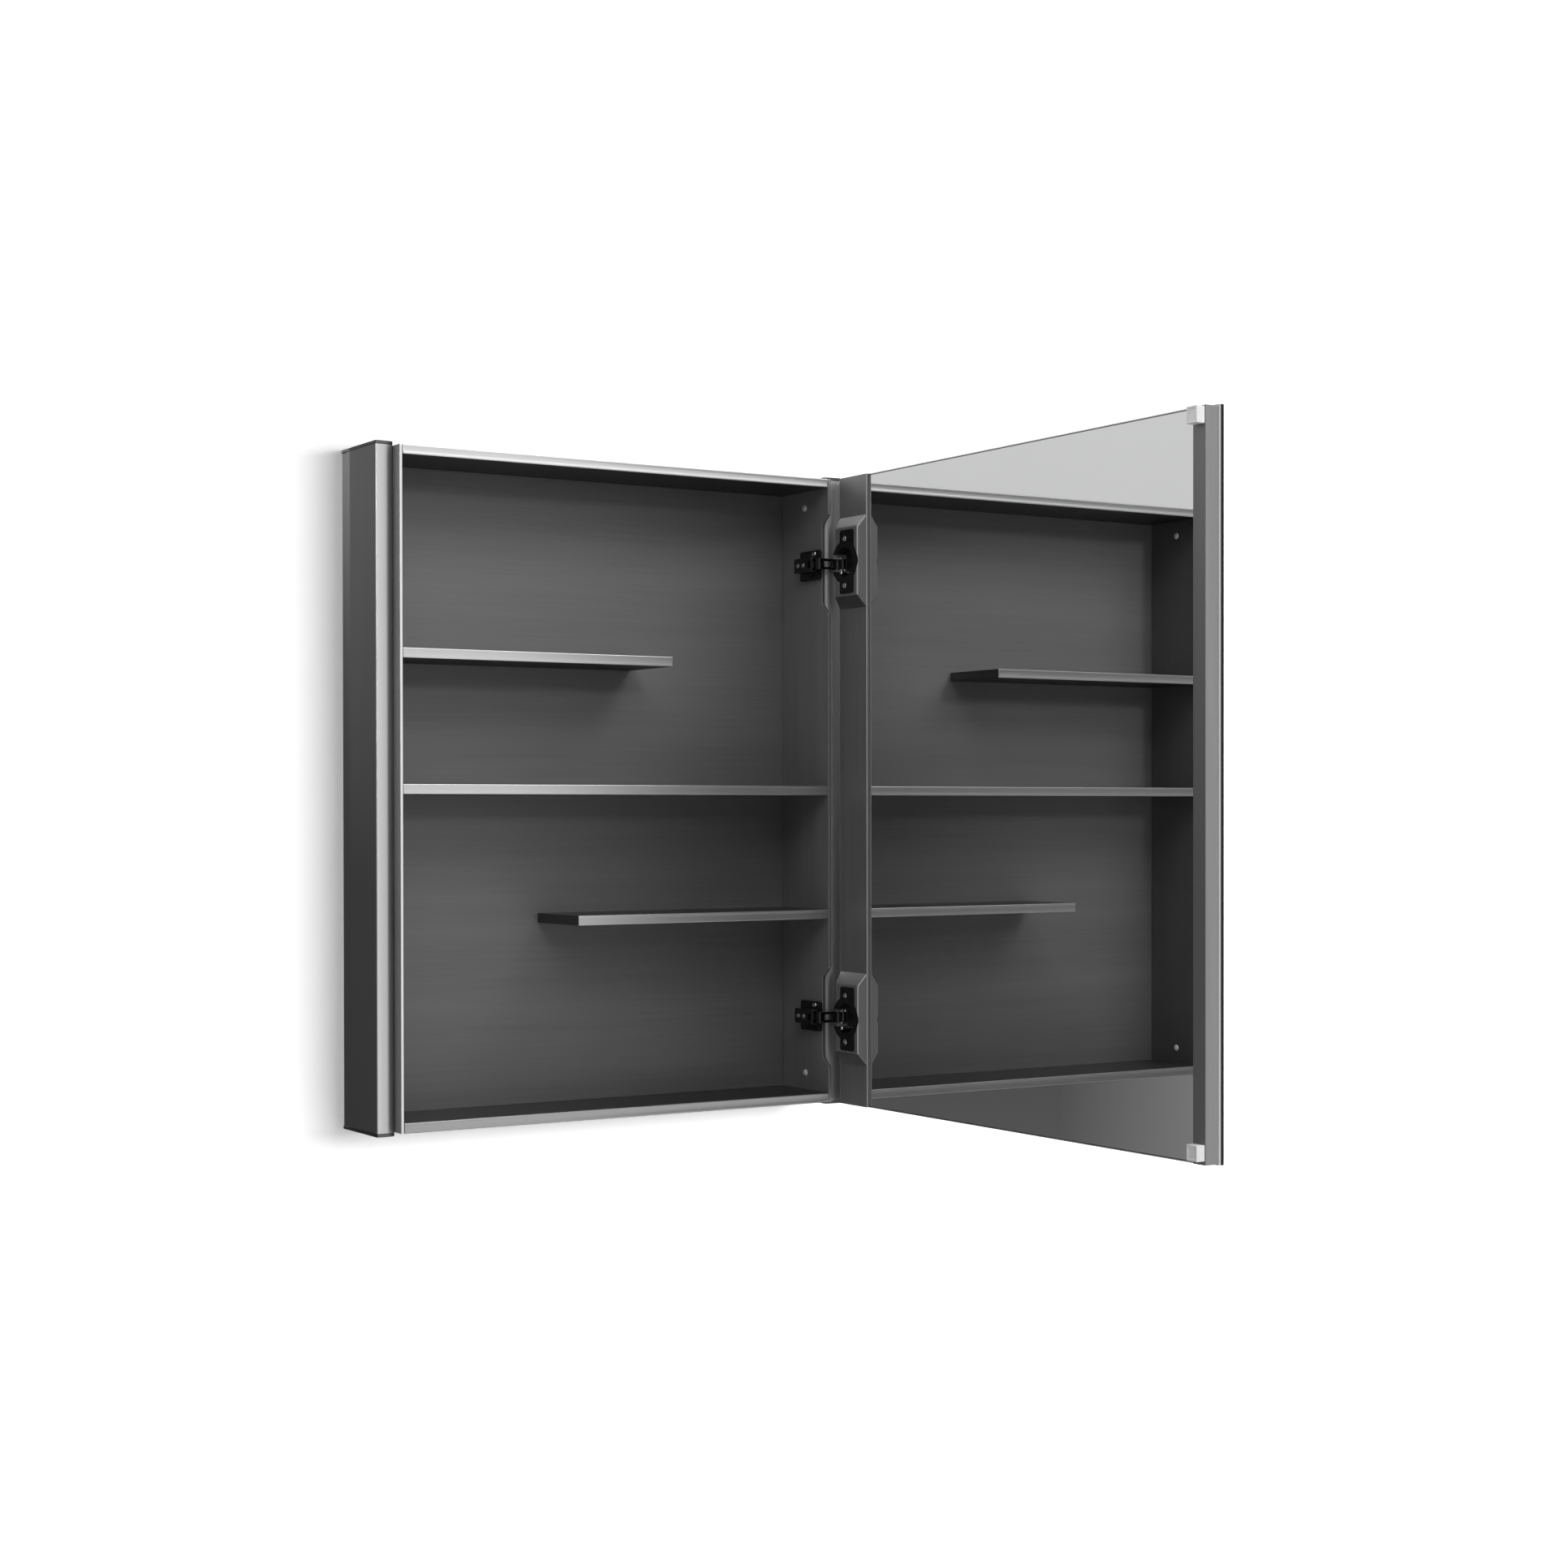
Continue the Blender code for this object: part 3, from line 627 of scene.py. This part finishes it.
def enamel(name, tone, shine, metal=0.0, swing=0.06, grain=140.0, dent=0.08):
    """A finish with a fine even mottle, for paint, plastic and plated steel."""
    look = bpy.data.materials.new(name)
    look.use_nodes = True
    tree = look.node_tree
    tree.nodes["Principled BSDF"].inputs["Metallic"].default_value = metal
    where = tree.nodes.new("ShaderNodeTexCoord")
    mottle = tree.nodes.new("ShaderNodeTexNoise")
    mottle.inputs["Scale"].default_value = grain
    mottle.inputs["Detail"].default_value = 4.0
    tree.links.new(where.outputs["Object"], mottle.inputs["Vector"])
    return surfaced(look, mottle.outputs["Fac"], mottle.outputs["Fac"], tone, swing, shine, 0.05, dent)


def turned(name, outline, centre, facing, sides=32):
    """A round piece spun from half its outline: pairs of radius and height above the centre."""
    bpy.ops.object.select_all(action="DESELECT")
    bpy.ops.mesh.primitive_plane_add(size=1.0)
    piece = bpy.context.object
    piece.name = name
    bpy.ops.object.mode_set(mode="EDIT")
    bpy.ops.mesh.select_all(action="SELECT")
    bpy.ops.mesh.delete(type="VERT")
    bpy.ops.object.mode_set(mode="OBJECT")
    piece.data.from_pydata([(radius, 0.0, height) for radius, height in outline],
                           [(i, i + 1) for i in range(len(outline) - 1)], [])
    bpy.ops.object.mode_set(mode="EDIT")
    bpy.ops.mesh.select_all(action="SELECT")
    bpy.ops.mesh.spin(steps=sides, angle=2 * math.pi, center=(0.0, 0.0, 0.0), axis=(0.0, 0.0, 1.0))
    bpy.ops.mesh.select_all(action="SELECT")
    bpy.ops.mesh.remove_doubles(threshold=0.000005)
    bpy.ops.mesh.normals_make_consistent(inside=False)
    bpy.ops.object.mode_set(mode="OBJECT")
    piece.rotation_euler = {"+X": (0.0, math.pi / 2, 0.0), "-X": (0.0, -math.pi / 2, 0.0),
                            "+Y": (-math.pi / 2, 0.0, 0.0), "+Z": (0.0, 0.0, 0.0)}[facing]
    piece.location = centre
    take_up(piece)
    bpy.ops.object.transform_apply(location=True, rotation=True, scale=True)
    return piece


def cross_cut(piece, centre, along, size, depth):
    """The cross recess of a screw head."""
    deep = "XYZ".index(along)
    for narrow in [axis for axis in range(3) if axis != deep]:
        reach = Vector((size, size, size))
        reach[deep] = depth
        reach[narrow] = size * 0.26
        carve(piece, bar("blade", Vector(centre) - reach, Vector(centre) + reach))
    return piece


plug_white = enamel("plug_white", 0.62, 0.35)
for side, facing in (("left", "+X"), ("right", "-X")):
    low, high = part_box(side + "_wall")
    inner = high.x if side == "left" else low.x
    for level in ("low", "high"):
        node = "wall_plug_%s_%s" % (side, level)
        at = middle_of(node)
        plug = turned("plug_%s_%s" % (side, level), plug_shape, (inner, at.y, at.z), facing)
        finish(plug, "cabinet", "white_plastic", [plug_white], node, smooth=50)

zinc = enamel("zinc_plate", 0.52, 0.30, metal=1.0, swing=0.12, grain=420.0)
for number in range(1, 8):
    node = "shelf_screw_%d" % number
    at = middle_of(node)
    screw = turned("shelf_fixing_%d" % number, screw_shape, (at.x, 0.0, at.z), "+Y", 28)
    cross_cut(screw, (at.x, -0.0002, at.z), "Y", 0.0016, 0.0010)
    finish(screw, "cabinet", "zinc", [zinc], node, smooth=30)

# ---- door frame on the hinge side ---------------------------------------------
# A wide anodised strip, rounded where it turns into the door's end, with two
# raised bosses. Each boss is bored for a hinge cup and slotted for its neck.
MIRROR_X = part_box("inner_mirror")[0].x
DOOR_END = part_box("door_hinge_profile")[1].y
STRIP_LONG, STRIP_STANDS, STRIP_BACK = 0.0462, 0.0030, -0.0112
STRIP_ROUND, STRIP_EASE = 0.0030, 0.0010
BOSS_TALL, BOSS_FLAT, BOSS_STANDS, BOSS_EASE = 0.0472, 0.0330, 0.0123, 0.0016
BOSS_FEET, BOSS_TOPS = (0.0010, STRIP_LONG - 0.0004), (0.0072, 0.0438)
CUP_S, CUP_R = 0.0220, 0.0155
RIM_S, RIM_R = 0.0230, 0.0205
WING_S, WING_TALL = (0.0153, 0.0381), 0.0305
NECK_SLOT_LONG, NECK_SLOT_TALL = 0.0098, 0.0061
SEAT_ROUND, SCREW_OFF, SCREW_BORE = 0.0030, 0.0225, 0.0017
BOSS_P, BORE_P, SLOT_P, SEAT_P, SCREW_P = ((0.0005, BOSS_STANDS), (0.0007, 0.0207), (-0.0050, 0.0160),
                                           (0.0110, 0.0160), (0.0030, 0.0130))
PLAY = 0.0003       # between a cup and the hole it sits in
door_frame = brushed("door_frame", 0.25, 0.42, "Z", metal=0.5)
# lighter copies for edges and upper slopes are painted light, the darker one for lower slopes painted shade
boss_slope_lit = brushed("boss_slope_lit", 0.36, 0.42, "Z", metal=0.5)
boss_slope_shaded = brushed("boss_slope_shaded", 0.09, 0.42, "Z", metal=0.5)
arris_highlight = brushed("arris_highlight", 0.62, 0.40, "Z", metal=0.6)


def on_door(s, p, z):
    """A place on the open door: s runs from its hinge end, p stands off the inner mirror."""
    return Vector((MIRROR_X - p, DOOR_END - s, z))


def door_bar(name, s, p, z):
    """A bar of the open door between two values each of s, p and z."""
    return bar(name, on_door(max(s), max(p), min(z)), on_door(min(s), min(p), max(z)))


def door_rod(s, p, z, radius, sides):
    """A round bar that stands on the open door between two values of p."""
    return rod(on_door(s, (p[0] + p[1]) / 2, z), "X", radius, p[1] - p[0], sides)


def same(first, second):
    return abs(first - second) < 1e-5


door_low, door_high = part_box("door_hinge_profile")
strip = door_bar("door_hinge_strip", (0.0, STRIP_LONG), (STRIP_BACK, STRIP_STANDS), (door_low.z, door_high.z))
for s, size, steps in ((0.0, STRIP_ROUND, 12), (STRIP_LONG, STRIP_EASE, 4)):
    corner = on_door(s, STRIP_STANDS, 0.0)
    round_off(strip, lambda a, b: abs(a.z - b.z) > 0.1 and same(a.x, corner.x) and same(a.y, corner.y),
              size, steps)
for z in hinge_heights.values():
    boss = door_bar("boss", BOSS_FEET, BOSS_P, (z - BOSS_TALL, z + BOSS_TALL))
    top_x = MIRROR_X - BOSS_STANDS
    for up in (-1, 1):
        shift(boss, lambda a, b: all(same(q.x, top_x) and (q.z - z) * up > 0 for q in (a, b)),
              (0.0, 0.0, up * (BOSS_FLAT - BOSS_TALL)))
    for foot, top in zip(BOSS_FEET, BOSS_TOPS):
        shift(boss, lambda a, b: all(same(q.x, top_x) and same(q.y, DOOR_END - foot) for q in (a, b)),
              (0.0, foot - top, 0.0))
    ease_edges(boss, BOSS_EASE, 6, 20)
    carve(strip, boss, "UNION")
for z in hinge_heights.values():
    carve(strip, door_rod(CUP_S, BORE_P, z, CUP_R + PLAY, 72))
    carve(strip, door_bar("slot", (-OVER, NECK_SLOT_LONG), SLOT_P, (z - NECK_SLOT_TALL, z + NECK_SLOT_TALL)))
    seat = door_bar("seat", (WING_S[0] - PLAY, WING_S[1] + PLAY), SEAT_P,
                    (z - WING_TALL - PLAY, z + WING_TALL + PLAY))
    round_off(seat, lambda a, b: abs(a.x - b.x) > 0.001, SEAT_ROUND, 6)
    carve(strip, seat)
    carve(strip, door_rod(RIM_S, SEAT_P, z, RIM_R + PLAY, 80))
    for off in (-SCREW_OFF, SCREW_OFF):
        carve(strip, door_rod(CUP_S, SCREW_P, z + off, SCREW_BORE, 20))


def strip_look(face):
    """Painted light: edges that catch the light and the bosses' upper slopes get lighter copies of the
    finish, and painted shade makes the lower slopes darker.
    """
    at, way = face.center, face.normal
    past = DOOR_END - at.y
    if way.x < -0.25 and abs(way.z) > 0.3 and at.x < MIRROR_X - STRIP_STANDS + 0.001:
        return 2 if way.z > 0 else 3
    if abs(way.z) < 0.2 and -0.97 < way.x < -0.55 and (past < 0.012 or past > STRIP_LONG - 0.004):
        return 1
    return 0


finish(strip, "door", "anodised", [door_frame, arris_highlight, boss_slope_lit, boss_slope_shaded], "door_hinge_profile",
       smooth=28, choose=strip_look)

# ---- door frame on the free side, rails and core --------------------------------
# A narrow strip along the free edge, thin rails across the ends and a board
# between the two mirrors.
FREE_EASE = 0.0007
# the free strip is a darker copy of the door frame's anodising, painted shade, and its end face a lighter
# copy, painted light
free_side_shaded = brushed("free_side_shaded", 0.21, 0.42, "Z", metal=0.5)
free_end_lit = brushed("free_end_lit", 0.30, 0.40, "Z", metal=0.5)
free_strip = ease_edges(bar("door_free_strip", *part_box("door_free_profile")), FREE_EASE, 4)
finish(free_strip, "door", "anodised", [free_side_shaded, free_end_lit], "door_free_profile",
       choose=lambda face: int(face.normal.y < -0.6))
door_rail = brushed("door_rail", 0.88, 0.24, "Y", metal=1.0, swing=0.04)
for node in ("door_top_rail", "door_bottom_rail"):
    paint_node(node, door_rail)
paint_node("door_core", enamel("core_board", 0.26, 0.75, grain=260.0, swing=0.2))

# ---- mirrors ------------------------------------------------------------------
# Silvered glass on both faces of the door. The front one is the larger: its
# ground edges show, with a bright backing sheet behind the glass.
INNER_EASE, FRONT_EASE = 0.0006, 0.0008


def silvered(name):
    """Silver behind float glass, with hardly visible clouding."""
    look = bpy.data.materials.new(name)
    look.use_nodes = True
    tree = look.node_tree
    shader = tree.nodes["Principled BSDF"]
    shader.inputs["Metallic"].default_value = 1.0
    where = tree.nodes.new("ShaderNodeTexCoord")
    haze = tree.nodes.new("ShaderNodeTexNoise")
    haze.inputs["Scale"].default_value = 14.0
    haze.inputs["Detail"].default_value = 3.0
    tint = tree.nodes.new("ShaderNodeValToRGB")
    tint.color_ramp.elements[0].color = (0.86, 0.868, 0.866, 1.0)
    tint.color_ramp.elements[1].color = (0.90, 0.904, 0.903, 1.0)
    tree.links.new(where.outputs["Object"], haze.inputs["Vector"])
    tree.links.new(haze.outputs["Fac"], tint.inputs["Fac"])
    tree.links.new(tint.outputs["Color"], shader.inputs["Base Color"])
    tree.links.new(stretch(tree, haze.outputs["Fac"], 0.62, 0.9, 0.0, 0.03), shader.inputs["Roughness"])
    return look


silver = silvered("silver")
glass_back = enamel("mirror_paint", 0.42, 0.6, grain=300.0)
polished_edge = enamel("polished_glass_edge", 0.60, 0.20, metal=0.6, grain=900.0, swing=0.08)
glass_edge = enamel("ground_glass_edge", 0.045, 0.22, grain=900.0, swing=0.25)
glass_edge.node_tree.nodes["Principled BSDF"].inputs["Coat Weight"].default_value = 0.6
for name, node, ease, steps, edge, out in (
    ("inner_glass", "inner_mirror", INNER_EASE, 3, polished_edge, -1),
    ("front_glass", "front_mirror", FRONT_EASE, 4, glass_edge, 1),
):
    low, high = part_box(node)
    glass = bar(name, low, high, ease, steps)
    finish(glass, "door", "mirror", [glass_back, silver, edge], node, smooth=20,
           choose=lambda face: 1 if face.normal.x * out > 0.99 else 0 if face.normal.x * out < -0.99 else 2)
    keep_lamps_off(glass)
paint_node("mirror_backing", brushed("backing_sheet", 0.66, 0.34, "Z", metal=1.0, swing=0.05))

# ---- bumpers ------------------------------------------------------------------
# Soft white stops at the two free corners, pressed onto the strip.
STOP_RIM, STOP_DEEP, STOP_EASE = 0.0017, 0.0006, 0.0009
soft_white = enamel("soft_white", 0.86, 0.42, grain=180.0, swing=0.03)
soft_shader = soft_white.node_tree.nodes["Principled BSDF"]
soft_shader.inputs["Subsurface Weight"].default_value = 0.25
soft_shader.inputs["Subsurface Radius"].default_value = (0.002, 0.002, 0.002)
for end in ("top", "bottom"):
    stop = bar("stop_" + end, *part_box("bumper_" + end))
    dished(stop, lambda face: face.normal.x < -0.99, STOP_RIM, STOP_DEEP)
    ease_edges(stop, STOP_EASE, 4, 50)
    finish(stop, "door", "white_plastic", [soft_white], "bumper_" + end)

# ---- hinge cups ---------------------------------------------------------------
# Pressed black cups with a winged plate, open on the hinge side for the neck,
# held by two bright screws. A small damper sits below the middle of each.
WING_P, WING_ROUND, CUP_EASE = (0.0111, 0.0122), 0.0028, 0.00022
CUP_P, HOLLOW_P, CUP_WALL = (0.0011, 0.0118), (0.0020, 0.0220), 0.0013
MOUTH_LONG, MOUTH_TALL, MOUTH_P = 0.0120, 0.0083, (-0.0040, 0.0200)
WELL_R, WELL_P, HEAD_SEAT = 0.0032, (0.0095, 0.0135), 0.0120
VENT_S, VENT_R, VENT_P, VENT_OFF = 0.0322, 0.0011, (0.0118, 0.0126), 0.92 * SCREW_OFF
HEAD_TOP, CROSS_WIDE, CROSS_DEEP = 0.0006, 0.0015, 0.0007
head_shape = [(0.0, 0.00062), (0.0010, 0.00058), (0.0019, 0.00042), (0.0025, 0.00014),
              (0.0028, -0.0002), (0.0029, -0.0005), (0.0029, -0.0008), (0.0, -0.0008)]
damper_shape = [(0.0, 0.0051), (0.0009, 0.0050), (0.0015, 0.0047), (0.0019, 0.0041),
                (0.0020, 0.0034), (0.0020, -0.0047), (0.0018, -0.0049), (0.0, -0.0049)]
pin_shape = [(0.0, 0.0112), (0.0009, 0.0112), (0.0012, 0.0109),
             (0.0012, -0.0109), (0.0009, -0.0112), (0.0, -0.0112)]
black = enamel("hinge_black", 0.024, 0.30, metal=0.6, swing=0.45, grain=420.0)
nickel = enamel("nickel", 0.88, 0.24, metal=1.0, swing=0.08, grain=600.0, dent=0.03)
pin_steel = enamel("pin_steel", 0.07, 0.50, metal=1.0, swing=0.08, grain=600.0, dent=0.03)
bright_pin = enamel("bright_pin", 0.80, 0.16, metal=1.0, swing=0.05, grain=600.0, dent=0.03)
for key, z in hinge_heights.items():
    cup = door_bar("cup_" + key, WING_S, WING_P, (z - WING_TALL, z + WING_TALL))
    round_off(cup, lambda a, b: abs(a.x - b.x) > 0.0005, WING_ROUND, 6)
    carve(cup, door_rod(RIM_S, WING_P, z, RIM_R, 80), "UNION")
    carve(cup, door_rod(CUP_S, CUP_P, z, CUP_R, 72), "UNION")
    carve(cup, door_rod(CUP_S, HOLLOW_P, z, CUP_R - CUP_WALL, 72))
    carve(cup, door_bar("mouth", (-0.006, MOUTH_LONG), MOUTH_P, (z - MOUTH_TALL, z + MOUTH_TALL)))
    for up in (-1, 1):
        carve(cup, door_rod(CUP_S, WELL_P, z + up * SCREW_OFF, WELL_R, 32))
        carve(cup, door_rod(VENT_S, VENT_P, z + up * VENT_OFF, VENT_R, 20))
    ease_edges(cup, CUP_EASE, 2, 50)
    finish(cup, "door", "hinge_black", [black], "hinge_cup_" + key, smooth=30)
    for number, off in ((1, -SCREW_OFF), (2, SCREW_OFF)):
        seat = on_door(CUP_S, HEAD_SEAT, z + off)
        head = turned("cup_fixing_%s_%d" % (key, number), head_shape, seat, "-X")
        cross_cut(head, on_door(CUP_S, HEAD_SEAT + HEAD_TOP, z + off), "X", CROSS_WIDE, CROSS_DEEP)
        finish(head, "door", "nickel", [nickel], "cup_screw_%s_%d" % (key, number), smooth=30)
    at = middle_of("hinge_damper_" + key)
    damper = turned("damper_" + key, damper_shape, (at.x + 0.0001, at.y, at.z), "-X", 28)
    finish(damper, "door", "nickel", [bright_pin], "hinge_damper_" + key, smooth=40)
    pin = turned("pin_" + key, pin_shape, middle_of("hinge_pin_" + key), "+Z", 28)
    finish(pin, "door", "nickel", [pin_steel], "hinge_pin_" + key, smooth=40)

# ---- hinge arms ---------------------------------------------------------------
# A black plate screwed to the right wall carries the arm body; a bent strap runs
# from the arm round to the knuckle on the pin.
PLATE_ROUND, PLATE_EASE = 0.0026, 0.0005
PLATE_BORE, PLATE_SLOT_LONG, PLATE_SLOT_TALL, PLATE_SLOT_DEEP = 0.0014, 0.0040, 0.0012, 0.0012
ARM_ROUND, ARM_EASE, ARM_WALL = 0.0016, 0.0003, (0.0016, 0.0017)
POCKET_TALL, POCKET_LONG = 0.0056, 0.0100
WINDOW_TALL, WINDOW_Y, WINDOW_DEEP = 0.0034, (0.0022, 0.0068), 0.0030
SOCKET_R, SOCKET_DEEP = 0.0026, 0.0008
NECK_TALL, NECK_EASE, KNUCKLE, PIN_BORE = 0.0053, 0.0003, 0.0027, 0.00128
NECK_WINDOW_X, NECK_WINDOW_TALL = (0.2245, 0.2345), 0.0026
turn_shape = [(0.0, 0.0005), (0.0017, 0.00048), (0.0022, 0.0002),
              (0.0024, -0.0001), (0.0024, -0.0006), (0.0, -0.0006)]
neck_metal = enamel("neck_metal", 0.13, 0.24, metal=1.0, swing=0.12, grain=500.0, dent=0.03)


def neck_outline(pin_at):
    """The bent strap seen from above: out from the arm, round the pin and back."""
    points = [(0.2185, -0.0612), (0.2185, -0.0758), (0.21865, -0.0767), (0.21905, -0.0774), (0.2196, -0.0779),
              (0.2203, -0.0782), (0.2385, -0.0782), (0.2393, -0.0784), (0.2401, -0.0789), (0.2406, -0.0796),
              (0.2408, -0.0804)]
    for step in range(25):
        angle = math.radians(165 + 230 * step / 24)
        points.append((pin_at.x + KNUCKLE * math.cos(angle), pin_at.y + KNUCKLE * math.sin(angle)))
    return points + [(0.2446, -0.0795), (0.2442, -0.0785), (0.2437, -0.0775), (0.2430, -0.0768),
                     (0.2420, -0.0762), (0.2411, -0.0759), (0.2400, -0.0758), (0.2214, -0.0758),
                     (0.22105, -0.07565), (0.2209, -0.0753), (0.2209, -0.0612)]


for key, z in hinge_heights.items():
    low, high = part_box("mount_plate_" + key)
    plate = bar("plate_" + key, low, high)
    round_off(plate, lambda a, b: abs(a.x - b.x) > 0.001, PLATE_ROUND, 6)
    at = middle_of("mount_screw_" + key)
    slot_z = z - (at.z - z)
    carve(plate, rod((high.x - 0.0012, at.y, at.z), "X", PLATE_BORE, 0.010, 20))
    carve(plate, bar("slot", (low.x - 0.001, at.y - PLATE_SLOT_LONG, slot_z - PLATE_SLOT_TALL),
                     (low.x + PLATE_SLOT_DEEP, at.y + PLATE_SLOT_LONG, slot_z + PLATE_SLOT_TALL)))
    ease_edges(plate, PLATE_EASE, 3, 50)
    finish(plate, "cabinet", "hinge_black", [black], "mount_plate_" + key, smooth=30)
    head = turned("mount_fixing_" + key, head_shape, (low.x - 0.0010, at.y, at.z), "-X")
    cross_cut(head, (low.x - 0.0010 - HEAD_TOP, at.y, at.z), "X", CROSS_WIDE, CROSS_DEEP)
    finish(head, "cabinet", "nickel", [bright_pin], "mount_screw_" + key, smooth=30)

    low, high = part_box("hinge_arm_" + key)
    arm = ease_edges(bar("arm_" + key, low, high), ARM_ROUND, 5)
    carve(arm, bar("pocket", (low.x + ARM_WALL[0], low.y - 0.006, z - POCKET_TALL),
                   (high.x - ARM_WALL[1], low.y + POCKET_LONG, z + POCKET_TALL)))
    carve(arm, bar("window", (low.x - 0.001, low.y + WINDOW_Y[0], z - WINDOW_TALL),
                   (low.x + WINDOW_DEEP, low.y + WINDOW_Y[1], z + WINDOW_TALL)))
    spots = [middle_of("arm_screw_%s_%d" % (key, number)) for number in (1, 2)]
    for at in spots:
        carve(arm, rod((low.x - 0.0004, at.y, at.z), "X", SOCKET_R, 2 * (SOCKET_DEEP + 0.0004), 32))
    ease_edges(arm, ARM_EASE, 2, 50)
    finish(arm, "cabinet", "hinge_black", [black], "hinge_arm_" + key, smooth=30)
    for number, at in enumerate(spots, 1):
        head = turned("arm_fixing_%s_%d" % (key, number), turn_shape, (low.x, at.y, at.z), "-X", 28)
        cross_cut(head, (low.x - 0.0005, at.y, at.z), "X", 0.0014, 0.0006)
        finish(head, "cabinet", "zinc", [zinc], "arm_screw_%s_%d" % (key, number), smooth=30)

    pin_at = middle_of("hinge_pin_" + key)
    neck = profile_bar("neck_" + key, neck_outline(pin_at), z - NECK_TALL, z + NECK_TALL)
    carve(neck, rod((pin_at.x, pin_at.y, z), "Z", PIN_BORE, 0.020, 32))
    carve(neck, bar("window", (NECK_WINDOW_X[0], -0.0800, z - NECK_WINDOW_TALL),
                    (NECK_WINDOW_X[1], -0.0740, z + NECK_WINDOW_TALL)))
    ease_edges(neck, NECK_EASE, 3, 40)
    finish(neck, "cabinet", "nickel", [neck_metal], "hinge_neck_" + key, smooth=30)
